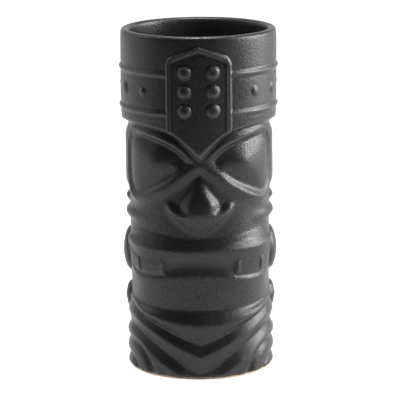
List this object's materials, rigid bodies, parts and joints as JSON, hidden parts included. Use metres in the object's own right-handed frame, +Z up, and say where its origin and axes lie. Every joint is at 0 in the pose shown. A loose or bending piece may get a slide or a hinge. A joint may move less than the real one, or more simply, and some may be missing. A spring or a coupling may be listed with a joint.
{
  "type": "tiki mug",
  "caption": "Tall cylindrical ceramic cup, moulded outside as a stylised carved face under a studded headband, with chevron carving round the base, an open mouth and a flat foot ring.",
  "frame": {"origin": "centre of the foot's resting plane, on the axis of the cup", "axes": "+Z up along the axis of the cup, -Y the way the face looks, +X the viewer's right when facing it"},
  "size_m": [0.0764, 0.077, 0.165],
  "materials": {
    "stoneware": "bare fired tan stoneware, dry and slightly gritty, seen only on the foot and underside",
    "black_glaze": "black satin-matt glaze with a fine grain, softly rounded over every edge"
  },
  "bodies": {
    "root": {"stoneware_body": "stoneware", "glaze_coat": "black_glaze"}
  },
  "joints": []
}
